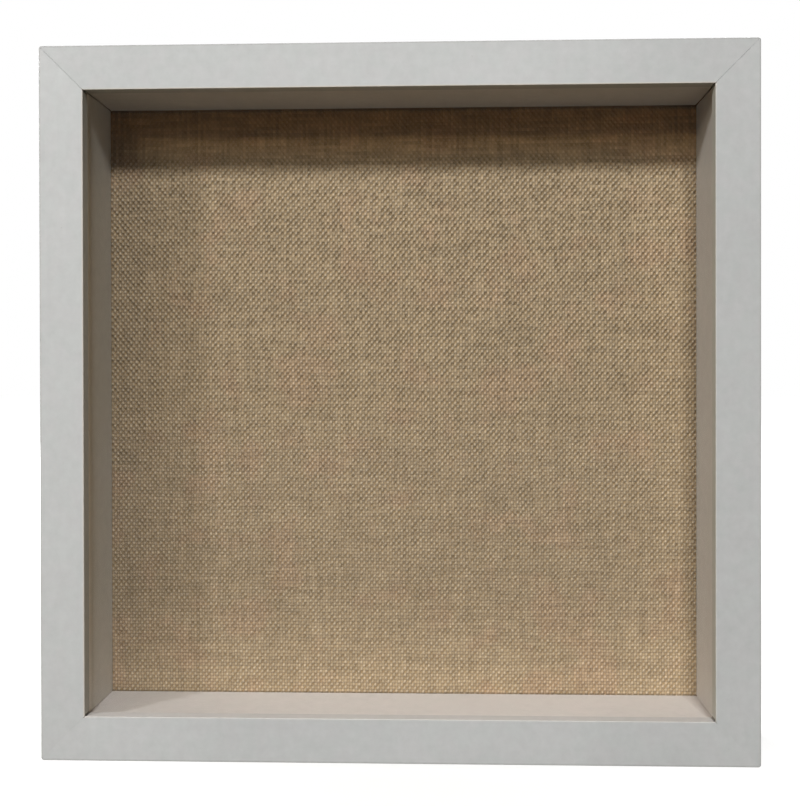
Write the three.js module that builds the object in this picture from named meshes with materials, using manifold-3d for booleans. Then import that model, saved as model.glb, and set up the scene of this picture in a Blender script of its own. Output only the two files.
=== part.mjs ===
// A square wooden shadow-box picture frame with a linen-covered back panel.
// Millimetres, +Z up. The frame stands on its bottom rail and its front faces -Y.
// Left and right are as seen from the front.

import * as THREE from 'three';
import { mergeVertices } from 'three/addons/utils/BufferGeometryUtils.js';
import Module from 'manifold-3d';

// Moulding
const INSERT_SIZE = 254; // side of the square glazing and back panel, ten inches
const INSERT_CLEARANCE = 0.5; // play of the insert in the rabbet on each side
const WALL_THICKNESS = 10; // moulding behind the lip, measured across the rail
const LIP_WIDTH = 7; // how far the lip stands in from the rabbet wall
const LIP_DEPTH = 4.5; // lip from front to back
const MITRE_GAP = 0.2; // open line along each mitre of the moulding
const FACE_EDGE_RADIUS = 0.3; // eased edges of the front face
const BACK_EDGE_RADIUS = 0.6; // eased edges of the back face
const CORNER_RADIUS = 1.2; // eased outer corners of the frame

// Layers behind the lip, from front to back
const SEAT_GAP = 0.2; // open line between pieces that lie face to face
const GLAZING_THICKNESS = 2;
const LINER_DEPTH = 25.4; // one inch
const LINER_SETBACK = 1.8; // liner face behind the inner edge of the lip
const LINER_CLEARANCE = 0.2; // liner to rabbet wall
const LINER_MITRE_GAP = 0.45; // open line at each corner of the liner
const CLOTH_THICKNESS = 0.8;
const CLOTH_RETURN = 20; // cloth folded over the back of the pin board
const BOARD_THICKNESS = 5;
const BACKING_THICKNESS = 3;
const BACKING_RECESS = 0.3; // back board below the back face of the moulding

// Corner nails, bent sheet pressed into the back of each mitre
const CORNER_NAILS = 2; // in each corner
const CORNER_NAIL_LEG = 7;
const CORNER_NAIL_THICKNESS = 0.8;
const CORNER_NAIL_DEPTH = 8;
const CORNER_NAIL_SINK = 0.2; // below the back face
const CORNER_NAIL_CLEARANCE = 0.3;

// Turn buttons that hold the back panel
const BUTTON_LENGTH = 22;
const BUTTON_PIVOT_WIDTH = 9;
const BUTTON_TIP_WIDTH = 6;
const BUTTON_THICKNESS = 1.2;
const BUTTON_SPACING = 140; // between the two pivots of one side

// Button screws
const SCREW_SHANK_DIAMETER = 2.6;
const SCREW_LENGTH = 12; // under the head
const SCREW_POINT = 3;
const SCREW_HEAD_DIAMETER = 6;
const SCREW_HEAD_HEIGHT = 1.6;
const SCREW_HEAD_RIM = 0.6; // straight part of the head under its dome
const SCREW_CLEARANCE = 0.3; // around the shank
const SCREW_RECESS_LENGTH = 3.4;
const SCREW_RECESS_WIDTH = 0.8;
const SCREW_RECESS_DEPTH = 0.9;

// Sawtooth hanger and its nails
const HANGER_LENGTH = 44;
const HANGER_HEIGHT = 8;
const HANGER_THICKNESS = 1;
const HANGER_FOOT = 8;
const HANGER_RAMP = 2;
const HANGER_RISE = 1.3; // room for a wall nail behind the teeth
const HANGER_TEETH = 9;
const HANGER_TOOTH_DEPTH = 1.4;
const HANGER_NAIL_DIAMETER = 1.6;
const HANGER_NAIL_LENGTH = 11; // under the head
const HANGER_NAIL_POINT = 2;
const HANGER_NAIL_HEAD_DIAMETER = 4;
const HANGER_NAIL_HEAD_HEIGHT = 0.9;
const HANGER_NAIL_HEAD_RIM = 0.4; // straight part of the head under its dome
const HANGER_NAIL_CLEARANCE = 0.3; // around the shank

// Felt bumpers on the back corners
const BUMPER_DIAMETER = 9;
const BUMPER_THICKNESS = 3.5;
const BUMPER_EDGE = 0.5;
const BUMPER_INSET = 20; // from the side of the frame

// Facets
const EDGE_FACETS = 2; // point pairs on each eased edge
const ROUND_FACETS = 16; // sides of screws, nails, holes and bumpers
const OUTLINE_FACETS = 5; // point pairs on the ends of a turn button
const DOME_FACETS = 3; // steps from the rim of a domed head to its middle
const CUT_MARGIN = 1; // cutters reach this far past the faces that they open

// Sizes that follow from those above
const RABBET_SIZE = INSERT_SIZE + 2 * INSERT_CLEARANCE;
const OUTER_SIZE = RABBET_SIZE + 2 * WALL_THICKNESS;
const HALF_SIZE = OUTER_SIZE / 2;
const FACE_WIDTH = WALL_THICKNESS + LIP_WIDTH;
const WALL_MIDDLE = WALL_THICKNESS / 2 - HALF_SIZE; // middle of the bottom rail's back face

// Depths measured from the front face
const GLAZING_FRONT = LIP_DEPTH + SEAT_GAP;
const LINER_FRONT = GLAZING_FRONT + GLAZING_THICKNESS + SEAT_GAP;
const LINER_BACK = LINER_FRONT + LINER_DEPTH;
const CLOTH_FRONT = LINER_BACK + SEAT_GAP;
const BOARD_FRONT = CLOTH_FRONT + CLOTH_THICKNESS + SEAT_GAP;
const BOARD_BACK = BOARD_FRONT + BOARD_THICKNESS;
const CLOTH_BACK = BOARD_BACK + SEAT_GAP + CLOTH_THICKNESS;
const BACKING_FRONT = CLOTH_BACK + SEAT_GAP;
const FRAME_DEPTH = BACKING_FRONT + BACKING_THICKNESS + BACKING_RECESS;
const HARDWARE_SEAT = FRAME_DEPTH + SEAT_GAP;
const SCREW_SEAT = HARDWARE_SEAT + BUTTON_THICKNESS + SEAT_GAP;
const HANGER_NAIL_SEAT = HARDWARE_SEAT + HANGER_THICKNESS + SEAT_GAP;
const TOTAL_DEPTH = HARDWARE_SEAT + BUMPER_THICKNESS;

// The four sides, each turned a quarter turn on from the last. The first end and the
// corner of a side lie at its -X end before it is turned.
const SIDES = [
  { rail: 'bottom_rail', name: 'bottom', ends: ['left', 'right'], corner: 'bottom_left' },
  { rail: 'left_stile', name: 'left', ends: ['upper', 'lower'], corner: 'top_left' },
  { rail: 'top_rail', name: 'top', ends: ['right', 'left'], corner: 'top_right' },
  { rail: 'right_stile', name: 'right', ends: ['lower', 'upper'], corner: 'bottom_right' },
];
const END_SIGNS = [-1, 1];

const wasm = await Module();
wasm.setup();

// Solid of a closed geometry, ready to cut.
function solidOf(geometry) {
  const bare = geometry.clone();
  bare.deleteAttribute('normal');
  bare.deleteAttribute('uv');
  const merged = mergeVertices(bare);
  const corners = merged.index.array;
  const triangles = [];
  for (let i = 0; i < corners.length; i += 3) {
    const [a, b, c] = corners.slice(i, i + 3);
    if (a !== b && b !== c && c !== a) triangles.push(a, b, c);
  }
  const mesh = new wasm.Mesh({
    numProp: 3,
    vertProperties: merged.attributes.position.array,
    triVerts: new Uint32Array(triangles),
  });
  return new wasm.Manifold(mesh);
}

// Geometry with the cutters taken out of it.
function cut(geometry, cutters) {
  let solid = solidOf(geometry);
  for (const cutter of cutters) {
    solid = solid.subtract(solidOf(cutter));
  }
  const { vertProperties, triVerts } = solid.getMesh();
  const result = new THREE.BufferGeometry();
  result.setAttribute('position', new THREE.BufferAttribute(vertProperties, 3));
  result.setIndex(new THREE.BufferAttribute(triVerts, 1));
  result.computeVertexNormals();
  return result;
}

// Box of a square sheet, centred on the frame's middle.
function sheet(size, front, thickness) {
  return new THREE.BoxGeometry(size, thickness, size).translate(0, front + thickness / 2, 0);
}

// Outline in the plane of the frame, extruded from front to back.
function plate(outline, front, thickness, curveSegments = OUTLINE_FACETS) {
  const options = { depth: thickness, bevelEnabled: false, curveSegments };
  return new THREE.ExtrudeGeometry(outline, options)
    .rotateX(Math.PI / 2)
    .translate(0, front + thickness, 0);
}

// Round solid about a line from front to back, from pairs of radius and depth.
function turned(profile) {
  const points = profile.map(([radius, depth]) => new THREE.Vector2(radius, depth));
  return new THREE.LatheGeometry(points, ROUND_FACETS);
}

// Profile points of a domed head, from its underside to the middle of its top.
function domedHead(radius, seat, rim, height) {
  const points = [[radius, seat]];
  for (let step = 0; step <= DOME_FACETS; step += 1) {
    const angle = ((Math.PI / 2) * step) / DOME_FACETS;
    points.push([radius * Math.cos(angle), seat + rim + (height - rim) * Math.sin(angle)]);
  }
  return points;
}

function roundHole(radius, front, back, x, z) {
  const length = back - front;
  return new THREE.CylinderGeometry(radius, radius, length, ROUND_FACETS)
    .translate(x, front + length / 2, z);
}

// Strip along the bottom side, mitred at both ends. The section has x inward from the frame's
// outer face and y from front to back, and the gap is the open line along each mitre.
function mitredStrip(section, gap) {
  const options = { depth: 1, bevelEnabled: false, curveSegments: EDGE_FACETS };
  const geometry = new THREE.ExtrudeGeometry(section, options);
  const { position } = geometry.attributes;
  const cutBack = (gap / 2) * Math.SQRT2;
  for (let i = 0; i < position.count; i += 1) {
    const inward = position.getX(i);
    const end = position.getZ(i) > 0 ? -1 : 1;
    const reach = HALF_SIZE - inward - cutBack;
    position.setXYZ(i, end * reach, position.getY(i), inward - HALF_SIZE);
  }
  geometry.computeVertexNormals();
  return geometry;
}

function mouldingSection() {
  const face = FACE_EDGE_RADIUS;
  const back = BACK_EDGE_RADIUS;
  const section = new THREE.Shape();
  section.absarc(face, face, face, Math.PI, 1.5 * Math.PI, false);
  section.absarc(FACE_WIDTH - face, face, face, 1.5 * Math.PI, 2 * Math.PI, false);
  section.lineTo(FACE_WIDTH, LIP_DEPTH);
  section.lineTo(WALL_THICKNESS, LIP_DEPTH);
  section.absarc(WALL_THICKNESS - back, FRAME_DEPTH - back, back, 0, 0.5 * Math.PI, false);
  section.absarc(back, FRAME_DEPTH - back, back, 0.5 * Math.PI, Math.PI, false);
  return section;
}

function linerSection() {
  const outer = WALL_THICKNESS + LINER_CLEARANCE;
  const inner = FACE_WIDTH - LINER_SETBACK;
  const section = new THREE.Shape();
  section.moveTo(outer, LINER_FRONT);
  section.lineTo(inner, LINER_FRONT);
  section.lineTo(inner, LINER_BACK);
  section.lineTo(outer, LINER_BACK);
  return section;
}

// Corner nail seen from the back: two legs along the rails from a point on the mitre.
// The corner lies at the bottom, at the end of the given sign.
function cornerNailOutline(index, end, grow) {
  const apex = (WALL_THICKNESS * (index + 1)) / (CORNER_NAILS + 1);
  const near = apex - CORNER_NAIL_THICKNESS / 2 - grow;
  const inside = apex + CORNER_NAIL_THICKNESS / 2 + grow;
  const far = apex + CORNER_NAIL_LEG + grow;
  const outline = [
    [near, near], [far, near], [far, inside],
    [inside, inside], [inside, far], [near, far],
  ];
  const place = ([along, inward]) => (
    new THREE.Vector2(end * (HALF_SIZE - along), inward - HALF_SIZE)
  );
  return new THREE.Shape(outline.map(place));
}

function cornerNail(index, end, grow, back) {
  const front = FRAME_DEPTH - CORNER_NAIL_SINK - CORNER_NAIL_DEPTH - grow;
  return plate(cornerNailOutline(index, end, grow), front, back - front);
}

// What is cut off an outer corner of the frame to round it.
function cornerRounding(end) {
  const outside = HALF_SIZE + CUT_MARGIN;
  const centre = HALF_SIZE - CORNER_RADIUS;
  const from = end > 0 ? 0 : Math.PI;
  const outline = new THREE.Shape();
  outline.moveTo(end * outside, -centre);
  outline.absarc(end * centre, -centre, CORNER_RADIUS, from, 1.5 * Math.PI, end > 0);
  outline.lineTo(end * centre, -outside);
  outline.lineTo(end * outside, -outside);
  return plate(outline, -CUT_MARGIN, FRAME_DEPTH + 2 * CUT_MARGIN, EDGE_FACETS);
}

function hangerNailPlaces() {
  const x = (HANGER_LENGTH - HANGER_FOOT) / 2;
  return END_SIGNS.map((end) => end * x);
}

function railGeometry(carriesHanger) {
  const opened = FRAME_DEPTH + CUT_MARGIN;
  const screwRadius = SCREW_SHANK_DIAMETER / 2 + SCREW_CLEARANCE;
  const screwTip = SCREW_SEAT - SCREW_LENGTH - SCREW_CLEARANCE;
  const cutters = [];
  for (const end of END_SIGNS) {
    const pivot = (end * BUTTON_SPACING) / 2;
    cutters.push(cornerRounding(end));
    cutters.push(roundHole(screwRadius, screwTip, opened, pivot, WALL_MIDDLE));
    for (let index = 0; index < CORNER_NAILS; index += 1) {
      cutters.push(cornerNail(index, end, CORNER_NAIL_CLEARANCE, opened));
    }
  }
  if (carriesHanger) {
    const nailRadius = HANGER_NAIL_DIAMETER / 2 + HANGER_NAIL_CLEARANCE;
    const nailTip = HANGER_NAIL_SEAT - HANGER_NAIL_LENGTH - HANGER_NAIL_CLEARANCE;
    for (const x of hangerNailPlaces()) {
      cutters.push(roundHole(nailRadius, nailTip, opened, x, WALL_MIDDLE));
    }
  }
  return cut(mitredStrip(mouldingSection(), MITRE_GAP), cutters);
}

// Linen wrapped round the pin board: a front, four sides and a band folded over the back.
function linenGeometry() {
  const whole = sheet(INSERT_SIZE, CLOTH_FRONT, CLOTH_BACK - CLOTH_FRONT);
  const hollowFront = CLOTH_FRONT + CLOTH_THICKNESS;
  const hollowDepth = CLOTH_BACK - CLOTH_THICKNESS - hollowFront;
  const hollow = sheet(INSERT_SIZE - 2 * CLOTH_THICKNESS, hollowFront, hollowDepth);
  const window = sheet(INSERT_SIZE - 2 * CLOTH_RETURN, BOARD_BACK, CLOTH_BACK - BOARD_BACK + CUT_MARGIN);
  return cut(whole, [hollow, window]);
}

// Turn button about its pivot, pointing along +X.
function buttonGeometry() {
  const pivotRadius = BUTTON_PIVOT_WIDTH / 2;
  const tipRadius = BUTTON_TIP_WIDTH / 2;
  const tipPlace = BUTTON_LENGTH - pivotRadius - tipRadius;
  const flank = Math.acos((pivotRadius - tipRadius) / tipPlace);
  const outline = new THREE.Shape();
  outline.absarc(0, 0, pivotRadius, flank, 2 * Math.PI - flank, false);
  outline.absarc(tipPlace, 0, tipRadius, -flank, flank, false);
  const hole = new THREE.Path();
  hole.absarc(0, 0, SCREW_SHANK_DIAMETER / 2 + SCREW_CLEARANCE, 0, 2 * Math.PI, true);
  outline.holes.push(hole);
  return plate(outline, HARDWARE_SEAT, BUTTON_THICKNESS);
}

// Pan-head screw with a cross recess.
function screwGeometry() {
  const shank = SCREW_SHANK_DIAMETER / 2;
  const tip = SCREW_SEAT - SCREW_LENGTH;
  const top = SCREW_SEAT + SCREW_HEAD_HEIGHT;
  const body = turned([
    [0, tip],
    [shank, tip + SCREW_POINT],
    [shank, SCREW_SEAT],
    ...domedHead(SCREW_HEAD_DIAMETER / 2, SCREW_SEAT, SCREW_HEAD_RIM, SCREW_HEAD_HEIGHT),
  ]);
  const slotDepth = SCREW_RECESS_DEPTH + CUT_MARGIN;
  const slotMiddle = top - SCREW_RECESS_DEPTH + slotDepth / 2;
  const slot = new THREE.BoxGeometry(SCREW_RECESS_LENGTH, slotDepth, SCREW_RECESS_WIDTH);
  slot.translate(0, slotMiddle, 0);
  const crossSlot = slot.clone().rotateY(Math.PI / 2);
  return cut(body, [slot, crossSlot]);
}

// Sawtooth hanger about the middle of its rail: two feet and a raised bridge with teeth.
function hangerGeometry() {
  const end = HANGER_LENGTH / 2;
  const foot = end - HANGER_FOOT;
  const bridge = foot - HANGER_RAMP;
  const under = HARDWARE_SEAT;
  const raised = under + HANGER_RISE;
  const profile = new THREE.Shape();
  profile.moveTo(-end, under);
  profile.lineTo(-foot, under);
  profile.lineTo(-bridge, raised);
  profile.lineTo(bridge, raised);
  profile.lineTo(foot, under);
  profile.lineTo(end, under);
  profile.lineTo(end, under + HANGER_THICKNESS);
  profile.lineTo(foot, under + HANGER_THICKNESS);
  profile.lineTo(bridge, raised + HANGER_THICKNESS);
  profile.lineTo(-bridge, raised + HANGER_THICKNESS);
  profile.lineTo(-foot, under + HANGER_THICKNESS);
  profile.lineTo(-end, under + HANGER_THICKNESS);
  const options = { depth: HANGER_HEIGHT, bevelEnabled: false };
  const strip = new THREE.ExtrudeGeometry(profile, options).translate(0, 0, -HANGER_HEIGHT / 2);

  const lowerEdge = -HANGER_HEIGHT / 2;
  const pitch = (2 * bridge) / HANGER_TEETH;
  const teeth = new THREE.Shape();
  teeth.moveTo(-bridge, lowerEdge - CUT_MARGIN);
  teeth.lineTo(-bridge, lowerEdge);
  for (let tooth = 0; tooth < HANGER_TEETH; tooth += 1) {
    const left = tooth * pitch - bridge;
    teeth.lineTo(left + pitch / 2, lowerEdge + HANGER_TOOTH_DEPTH);
    teeth.lineTo(left + pitch, lowerEdge);
  }
  teeth.lineTo(bridge, lowerEdge - CUT_MARGIN);
  const through = raised + HANGER_THICKNESS + CUT_MARGIN;
  const holeRadius = HANGER_NAIL_DIAMETER / 2 + HANGER_NAIL_CLEARANCE;
  const holes = hangerNailPlaces().map((x) => roundHole(holeRadius, under - CUT_MARGIN, through, x, 0));
  return cut(strip, [plate(teeth, FRAME_DEPTH, through - FRAME_DEPTH), ...holes]);
}

function hangerNailGeometry() {
  const shank = HANGER_NAIL_DIAMETER / 2;
  const head = HANGER_NAIL_HEAD_DIAMETER / 2;
  const tip = HANGER_NAIL_SEAT - HANGER_NAIL_LENGTH;
  return turned([
    [0, tip],
    [shank, tip + HANGER_NAIL_POINT],
    [shank, HANGER_NAIL_SEAT],
    ...domedHead(head, HANGER_NAIL_SEAT, HANGER_NAIL_HEAD_RIM, HANGER_NAIL_HEAD_HEIGHT),
  ]);
}

function bumperGeometry() {
  const radius = BUMPER_DIAMETER / 2;
  return turned([
    [0, HARDWARE_SEAT],
    [radius, HARDWARE_SEAT],
    [radius, TOTAL_DEPTH - BUMPER_EDGE],
    [radius - BUMPER_EDGE, TOTAL_DEPTH],
    [0, TOTAL_DEPTH],
  ]);
}

const paint = () => new THREE.MeshStandardMaterial({ color: 0xd2d2ce, roughness: 0.5, metalness: 0 });
const linen = () => new THREE.MeshStandardMaterial({ color: 0xb39b78, roughness: 0.95, metalness: 0 });
const softboard = () => new THREE.MeshStandardMaterial({ color: 0xa8987c, roughness: 0.95, metalness: 0 });
const hardboard = () => new THREE.MeshStandardMaterial({ color: 0x6b4a30, roughness: 0.75, metalness: 0 });
const steel = () => new THREE.MeshStandardMaterial({ color: 0xb9bcc0, roughness: 0.35, metalness: 1 });
const brass = () => new THREE.MeshStandardMaterial({ color: 0xc9a45c, roughness: 0.4, metalness: 1 });
const felt = () => new THREE.MeshStandardMaterial({ color: 0x4a4642, roughness: 1, metalness: 0 });
const glass = () => new THREE.MeshStandardMaterial({
  color: 0xffffff, roughness: 0.05, metalness: 0, transparent: true, opacity: 0.12,
});

function piece(name, geometry, material) {
  const mesh = new THREE.Mesh(geometry, material);
  mesh.name = name;
  return mesh;
}

// Everything on one side of the frame, built as the bottom side and turned into place.
function sideGroup(side, index) {
  const group = new THREE.Group();
  const carriesHanger = side.name === 'top';
  group.rotation.y = (index * Math.PI) / 2;
  group.add(piece(side.rail, railGeometry(carriesHanger), paint()));
  group.add(piece(`liner_${side.name}`, mitredStrip(linerSection(), LINER_MITRE_GAP), paint()));
  for (let nail = 0; nail < CORNER_NAILS; nail += 1) {
    const geometry = cornerNail(nail, END_SIGNS[0], 0, FRAME_DEPTH - CORNER_NAIL_SINK);
    group.add(piece(`corner_nail_${side.corner}_${nail + 1}`, geometry, steel()));
  }
  END_SIGNS.forEach((end, place) => {
    const label = `${side.name}_${side.ends[place]}`;
    const screw = piece(`button_screw_${label}`, screwGeometry(), steel());
    const button = piece(`turn_button_${label}`, buttonGeometry(), brass());
    for (const mesh of [screw, button]) {
      mesh.position.set((end * BUTTON_SPACING) / 2, 0, WALL_MIDDLE);
      group.add(mesh);
    }
    button.rotation.y = end > 0 ? Math.PI : 0;
  });
  if (carriesHanger) {
    const hanger = piece('hanger', hangerGeometry(), brass());
    hanger.position.set(0, 0, WALL_MIDDLE);
    hanger.rotation.y = Math.PI;
    group.add(hanger);
    hangerNailPlaces().forEach((x, place) => {
      const nail = piece(`hanger_nail_${side.ends[place]}`, hangerNailGeometry(), steel());
      nail.position.set(x, 0, WALL_MIDDLE);
      group.add(nail);
    });
  }
  return group;
}

function backPanel() {
  const group = new THREE.Group();
  const boardSize = INSERT_SIZE - 2 * (CLOTH_THICKNESS + SEAT_GAP);
  group.add(piece('linen_cover', linenGeometry(), linen()));
  group.add(piece('pin_board', sheet(boardSize, BOARD_FRONT, BOARD_THICKNESS), softboard()));
  group.add(piece('back_board', sheet(INSERT_SIZE, BACKING_FRONT, BACKING_THICKNESS), hardboard()));
  return group;
}

function bumpers() {
  const group = new THREE.Group();
  for (const level of END_SIGNS) {
    for (const end of END_SIGNS) {
      const name = `bumper_${level < 0 ? 'bottom' : 'top'}_${end < 0 ? 'left' : 'right'}`;
      const bumper = piece(name, bumperGeometry(), felt());
      bumper.position.set(end * (HALF_SIZE - BUMPER_INSET), 0, -level * WALL_MIDDLE);
      group.add(bumper);
    }
  }
  return group;
}

const pictureFrame = new THREE.Group();
pictureFrame.name = 'picture_frame';
pictureFrame.position.set(0, -TOTAL_DEPTH / 2, HALF_SIZE);
SIDES.forEach((side, index) => pictureFrame.add(sideGroup(side, index)));
pictureFrame.add(piece('glazing_pane', sheet(INSERT_SIZE, GLAZING_FRONT, GLAZING_THICKNESS), glass()));
pictureFrame.add(backPanel());
pictureFrame.add(bumpers());

export default pictureFrame;
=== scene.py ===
"""Looks of a square shadow-box picture frame with a linen-covered back panel.

Metres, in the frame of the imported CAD: +Z up, the front faces -Y, left and right as seen from the front.
"""

import math

import bmesh
import bpy
from mathutils import Matrix, Vector, noise


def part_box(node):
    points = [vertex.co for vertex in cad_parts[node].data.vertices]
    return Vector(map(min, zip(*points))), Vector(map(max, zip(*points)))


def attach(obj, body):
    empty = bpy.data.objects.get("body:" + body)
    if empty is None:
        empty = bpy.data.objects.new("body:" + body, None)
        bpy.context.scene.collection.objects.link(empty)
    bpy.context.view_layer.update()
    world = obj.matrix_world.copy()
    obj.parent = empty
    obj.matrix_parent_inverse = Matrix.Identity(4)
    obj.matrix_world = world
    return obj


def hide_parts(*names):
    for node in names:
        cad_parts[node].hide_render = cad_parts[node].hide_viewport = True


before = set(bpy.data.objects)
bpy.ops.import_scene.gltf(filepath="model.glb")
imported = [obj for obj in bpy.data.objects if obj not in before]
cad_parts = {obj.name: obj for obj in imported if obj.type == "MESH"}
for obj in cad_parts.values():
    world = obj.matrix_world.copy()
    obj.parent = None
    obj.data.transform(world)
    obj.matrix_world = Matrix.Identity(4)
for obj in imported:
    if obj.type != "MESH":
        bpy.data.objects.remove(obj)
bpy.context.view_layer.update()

MM = 0.001
WHITE = (1.0, 1.0, 1.0, 1.0)

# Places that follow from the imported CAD
rail_low, rail_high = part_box("top_rail")
FRONT = rail_low.y
MOULDING_BACK = rail_high.y
HALF_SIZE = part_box("right_stile")[1].x
MIDDLE_HEIGHT = HALF_SIZE
FACE_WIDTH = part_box("bottom_rail")[1].z
SIGHT_HALF = HALF_SIZE - FACE_WIDTH
liner_low, liner_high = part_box("liner_bottom")
LINER_FRONT = liner_low.y
LINER_BACK = liner_high.y
LINER_HALF = MIDDLE_HEIGHT - liner_high.z
LINER_OUTER_HALF = MIDDLE_HEIGHT - liner_low.z
CLOTH_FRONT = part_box("linen_cover")[0].y

# Photograph
IMAGE_HEIGHT = 806  # its long side

# Camera, fitted to the sides and corners of the moulding, the lip and the cloth in the photograph
CAMERA_RIGHT = 20.7 * MM  # of the frame's middle
CAMERA_ABOVE = 9.8 * MM  # the frame's middle
CAMERA_AWAY = 330.7 * MM  # from the front face
CAMERA_YAW = 1.562  # degrees, to the left
CAMERA_PITCH = -0.258  # degrees, upwards
CAMERA_ROLL = 0.1  # degrees
FOCAL_LENGTH_PIXELS = 870
SENSOR_WIDTH = 36  # of the long side, in the camera's millimetres
AXIS_RIGHT_PIXELS = 27.1  # the lens axis from the middle of the picture
AXIS_ABOVE_PIXELS = 21.5
CLIP_START = 0.01
CLIP_END = 50

# Curve between screen levels and linear light
SCREEN_TOP = 255
CURVE_START = 0.04045
START_SLOPE = 12.92
CURVE_OFFSET = 0.055
CURVE_POWER = 2.4


def linear(level):
    """Linear light of one screen level."""
    share = level / SCREEN_TOP
    if share <= CURVE_START:
        return share / START_SLOPE
    return ((share + CURVE_OFFSET) / (1 + CURVE_OFFSET)) ** CURVE_POWER


def tint(red, green, blue):
    """Linear colour of a colour as a screen shows it, from 0 to 255 a channel."""
    return (linear(red), linear(green), linear(blue), 1.0)


class Field:
    """A number that shader nodes work out at each point of a surface."""

    def __init__(self, shader, socket):
        self.shader = shader
        self.socket = socket

    def __add__(self, other):
        return self.shader.math("ADD", self, other)

    def __sub__(self, other):
        return self.shader.math("SUBTRACT", self, other)

    def __mul__(self, other):
        return self.shader.math("MULTIPLY", self, other)

    def __truediv__(self, other):
        return self.shader.math("DIVIDE", self, other)

    def __rsub__(self, other):
        return self.shader.math("SUBTRACT", other, self)

    __radd__ = __add__
    __rmul__ = __mul__

    def call(self, operation, *others):
        return self.shader.math(operation, self, *others)

    def size(self):
        return self.call("ABSOLUTE")

    def ramp(self, start, end, low=0.0, high=1.0):
        """Smooth change from low at start to high at end, and level beyond them."""
        made = self.shader.node("ShaderNodeMapRange", {"interpolation_type": "SMOOTHSTEP"})
        for name, value in (
            ("Value", self), ("From Min", start), ("From Max", end), ("To Min", low), ("To Max", high),
        ):
            self.shader.feed(made.inputs[name], value)
        return Field(self.shader, made.outputs["Result"])


# Sockets of the node that mixes two colours, whose names repeat for other kinds of value
MIX_SHARE = 0
MIX_FIRST = 6
MIX_SECOND = 7
MIX_RESULT = 2


class Shader:
    """A material, with short calls for the nodes that it is made of.

    The scale of a noise or of cells is how many of its features lie in a metre.
    """

    def __init__(self, name):
        self.material = bpy.data.materials.new(name)
        self.material.use_nodes = True
        self.tree = self.material.node_tree
        self.tree.nodes.clear()
        self.place = self.node("ShaderNodeTexCoord").outputs["Object"]
        axes = self.node("ShaderNodeSeparateXYZ", Vector=self.place).outputs
        self.x, self.y, self.z = (Field(self, axis) for axis in axes)

    def feed(self, socket, value):
        if isinstance(value, Field):
            value = value.socket
        if isinstance(value, bpy.types.NodeSocket):
            self.tree.links.new(value, socket)
        else:
            socket.default_value = value

    def node(self, kind, settings=None, **inputs):
        made = self.tree.nodes.new(kind)
        for name, value in (settings or {}).items():
            setattr(made, name, value)
        for name, value in inputs.items():
            self.feed(made.inputs[name.replace("_", " ")], value)
        return made

    def math(self, operation, *values):
        made = self.node("ShaderNodeMath", {"operation": operation})
        for socket, value in zip(made.inputs, values):
            self.feed(socket, value)
        return Field(self, made.outputs[0])

    def point(self, x, y, z):
        return self.node("ShaderNodeCombineXYZ", X=x, Y=y, Z=z).outputs[0]

    def noise(self, scale, detail=2.0, roughness=0.5, at=None):
        """Soft random field, mostly from 0.25 to 0.75."""
        made = self.node("ShaderNodeTexNoise", Scale=scale, Detail=detail, Roughness=roughness)
        self.feed(made.inputs["Vector"], at or self.place)
        return Field(self, made.outputs[0])

    def cells(self, scale, at=None):
        """Distance to the nearest of many random points, in shares of their spacing."""
        made = self.node("ShaderNodeTexVoronoi", Scale=scale)
        self.feed(made.inputs["Vector"], at or self.place)
        return Field(self, made.outputs["Distance"])

    def mix(self, share, first, second, blend="MIX"):
        made = self.node("ShaderNodeMix", {"data_type": "RGBA", "blend_type": blend})
        self.feed(made.inputs[MIX_SHARE], share)
        self.feed(made.inputs[MIX_FIRST], first)
        self.feed(made.inputs[MIX_SECOND], second)
        return made.outputs[MIX_RESULT]

    def times(self, first, second):
        """One colour times another."""
        return self.mix(1.0, first, second, "MULTIPLY")

    def shade(self, colour, brightness):
        """Colour times a brightness field."""
        return self.times(colour, self.point(brightness, brightness, brightness))

    def bump(self, height, depth):
        """Normals of a relief whose height field spans the depth from 0 to 1."""
        return self.node("ShaderNodeBump", Strength=1.0, Distance=depth, Height=height).outputs[0]

    def mix_surfaces(self, share, first, second):
        made = self.node("ShaderNodeMixShader")
        for socket, value in zip(made.inputs, (share, first, second)):
            self.feed(socket, value)
        return made.outputs[0]

    def finish(self, surface):
        output = self.node("ShaderNodeOutputMaterial")
        self.tree.links.new(surface, output.inputs["Surface"])
        return self.material

    def principled(self, **inputs):
        return self.finish(self.node("ShaderNodeBsdfPrincipled", **inputs).outputs[0])


# Paint of the mouldings and the liner
STROKES_ALONG = 14.0  # brush strokes a metre
STROKES_ACROSS = 420.0
PAINT_TONE = 0.81  # which the three shares below bring to about 1
CLOUD_SHARE = 0.14
MOTTLE_SHARE = 0.2
STROKE_SHARE = 0.04
HUE_SHARE = 0.04
GREENISH = tint(160, 176, 158)
REDDISH = tint(188, 170, 168)
SPECK_SHARE = 0.35
SPECK_COLOUR = tint(130, 126, 118)
PAINT_ROUGHNESS = 0.42
ROUGHNESS_SHARE = 0.16
PAINT_RELIEF = 0.05 * MM
STROKE_RELIEF = 0.5  # shares of the relief
MOTTLE_RELIEF = 0.3
GRIT_RELIEF = 0.2

# Painted shade towards the ends and painted light at the front, along the rails and the liner
RIGHT_END_START = 40 * MM  # to the right of the frame's middle
RIGHT_END = 128 * MM
RIGHT_END_PAINTED_SHADE = 0.95
LEFT_END_START = -30 * MM
LEFT_END = -110 * MM
FRONT_LIGHT_START = 6 * MM  # behind the front of the liner
FRONT_LIGHT_END = 1 * MM
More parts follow.
